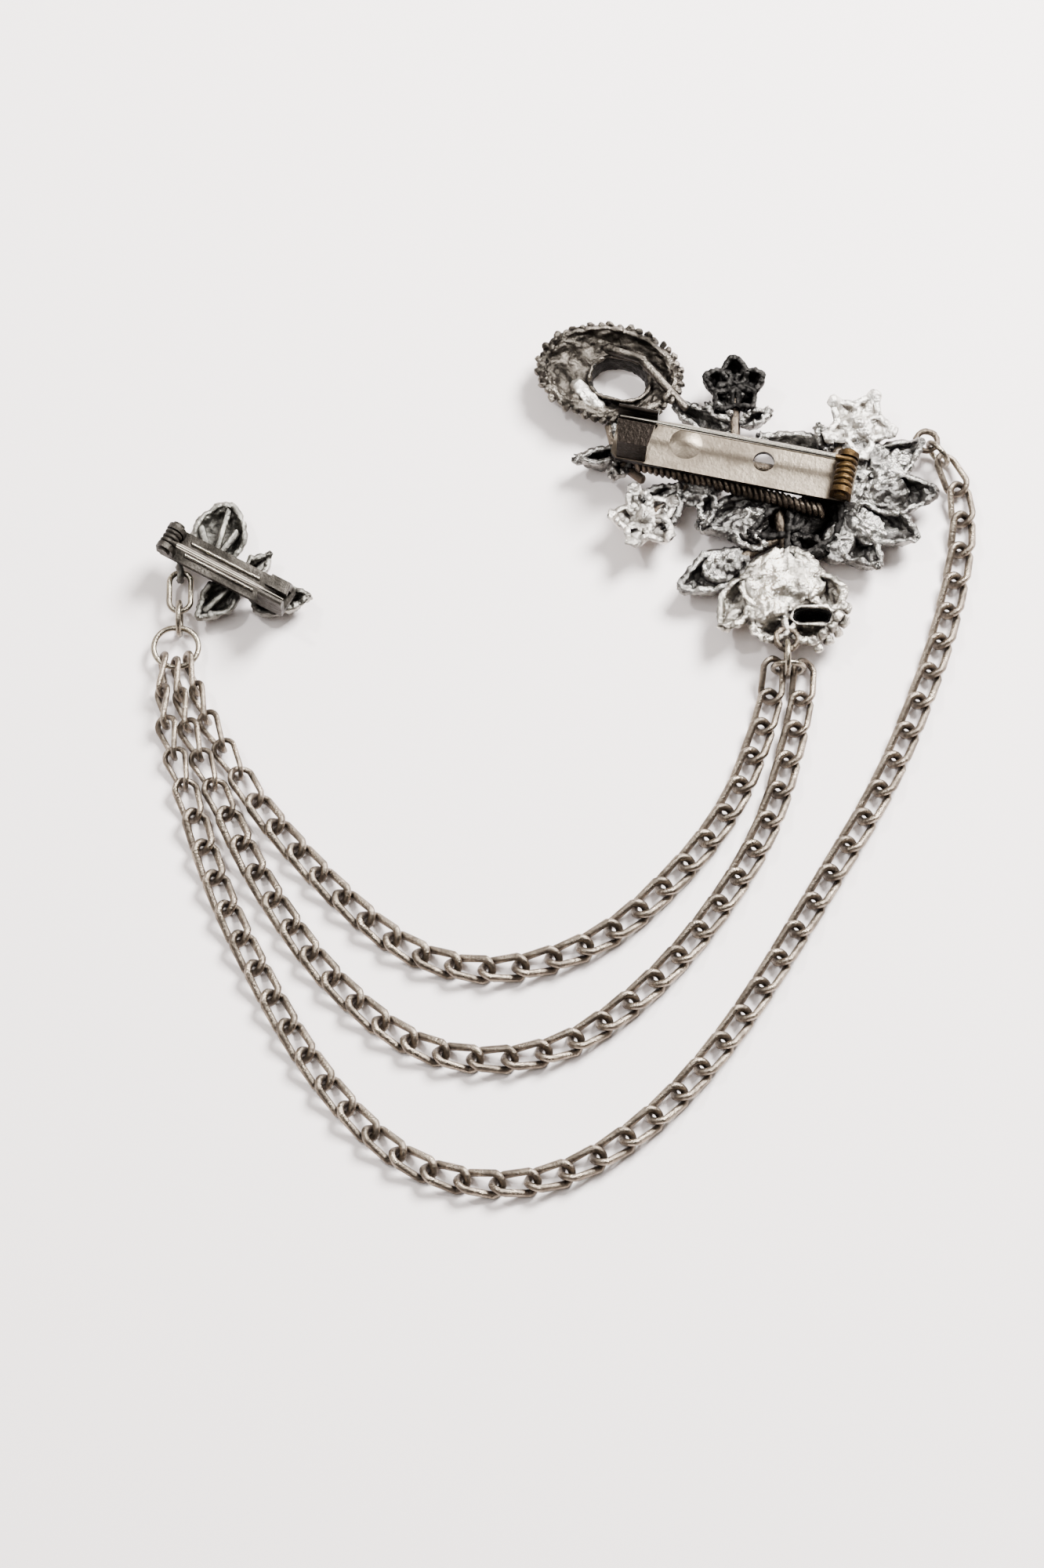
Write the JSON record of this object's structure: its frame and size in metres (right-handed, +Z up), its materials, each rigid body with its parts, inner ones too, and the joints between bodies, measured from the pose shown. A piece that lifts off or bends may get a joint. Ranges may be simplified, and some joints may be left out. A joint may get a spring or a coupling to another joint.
{
  "type": "lapel chain",
  "caption": "Lapel chain lying face down: a large floral brooch and a small one, each with a hinged pin back, joined by hanging curb chains.",
  "frame": {"origin": "on the table under the middle of the whole piece", "axes": "+X towards the large brooch, +Y towards the brooches' upper side, away from the hanging loops, +Z up out of the brooches' backs"},
  "size_m": [0.1146, 0.1269, 0.0114],
  "materials": {
    "cast_silver_plate": "antiqued silver plate on a rough casting",
    "pressed_steel_plate": "satin",
    "hinge_brass": "tarnished",
    "pin_steel": "bright drawn wire",
    "ring_silver_plate": "worn silver plate",
    "chain_silver_plate": "antiqued silver plate"
  },
  "bodies": {
    "piece": {"big_spray": "cast_silver_plate", "big_bar": "pressed_steel_plate", "big_rivet": "hinge_brass", "small_spray": "cast_silver_plate", "small_bar": "pressed_steel_plate", "small_rivet": "hinge_brass", "outer_ring": "ring_silver_plate", "lower_ring": "ring_silver_plate", "spreader_ring": "ring_silver_plate", "oval_link": "ring_silver_plate", "small_ring": "ring_silver_plate", "gather_ring": "ring_silver_plate", "chain_outer": "chain_silver_plate", "chain_middle": "chain_silver_plate", "chain_inner": "chain_silver_plate"},
    "big_pin": {"big_stem": "pin_steel"},
    "small_pin": {"small_stem": "pin_steel"}
  },
  "joints": [
    {"name": "big_pin_hinge", "type": "hinge", "parent": "piece", "child": "big_pin", "pos_m": [0.03859, 0.03819, 0.00905], "axis": [0.2079, 0.9781, 0], "range_deg": [0, 75]},
    {"name": "small_pin_hinge", "type": "hinge", "parent": "piece", "child": "small_pin", "pos_m": [-0.05448, 0.02963, 0.00705], "axis": [-0.4848, -0.8746, 0], "range_deg": [0, 75]}
  ]
}
